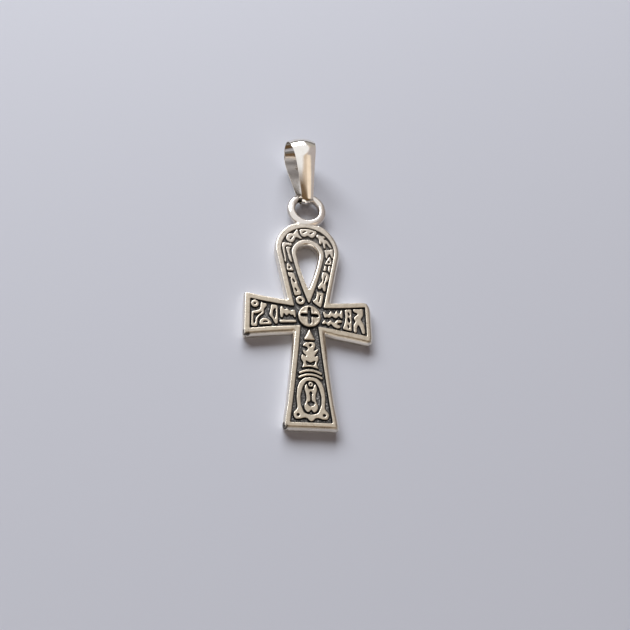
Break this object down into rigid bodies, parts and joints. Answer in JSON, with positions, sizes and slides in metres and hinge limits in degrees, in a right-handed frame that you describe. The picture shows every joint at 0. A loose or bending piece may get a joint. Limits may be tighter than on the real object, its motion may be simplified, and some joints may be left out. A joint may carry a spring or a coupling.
{
  "type": "ankh pendant",
  "caption": "Silver ankh pendant with raised Egyptian-style signs in blackened recesses, a soldered top ring and a tapered bail for a chain.",
  "frame": {"origin": "on the flat back, under the middle of the disc where the arms cross", "axes": "+Z out of the front face, +Y up the pendant to the bail, +X across the arms to the right as the front is seen"},
  "size_m": [0.0222, 0.0551, 0.0076],
  "materials": {
    "cast_silver": "cast silver, satin on the raised tops, blackened and grainy in the recesses",
    "polished_silver": "folded silver strip, mirror polished with fine scratches"
  },
  "bodies": {
    "root": {"ankh": "cast_silver", "bail": "polished_silver"}
  },
  "joints": []
}
